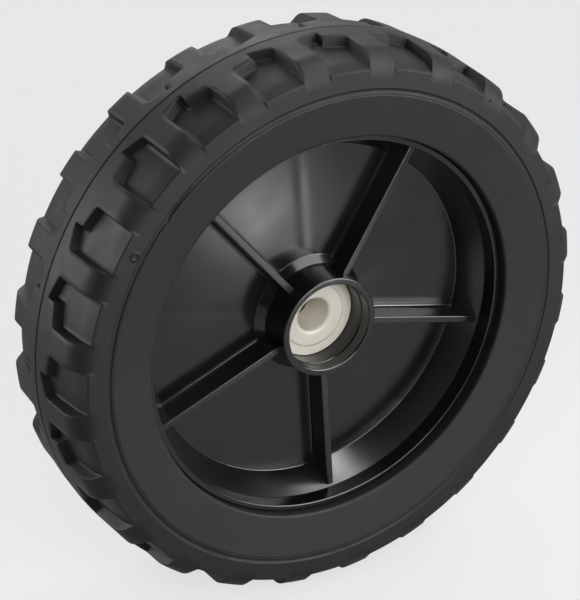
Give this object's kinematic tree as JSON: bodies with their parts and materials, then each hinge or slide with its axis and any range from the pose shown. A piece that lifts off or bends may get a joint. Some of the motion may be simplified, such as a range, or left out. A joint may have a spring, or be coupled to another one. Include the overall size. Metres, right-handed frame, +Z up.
{
  "type": "lawn mower wheel",
  "caption": "Push mower wheel: rubber tyre with stepped block tread on a ribbed gloss plastic rim, turning on plain flanged bushes for a plain axle.",
  "frame": {"origin": "wheel centre, on the axle line at the tyre's middle plane", "axes": "+Y along the axle, away from the wheel's outer face and towards the machine; +Z up"},
  "size_m": [0.2, 0.051, 0.2],
  "materials": {
    "tyre": "matte, finely grained",
    "rim": "gloss",
    "bush": "satin, as moulded"
  },
  "bodies": {
    "root": {"tyre": "tyre", "rim": "rim", "outer_bush": "bush", "inner_bush": "bush"}
  },
  "joints": []
}
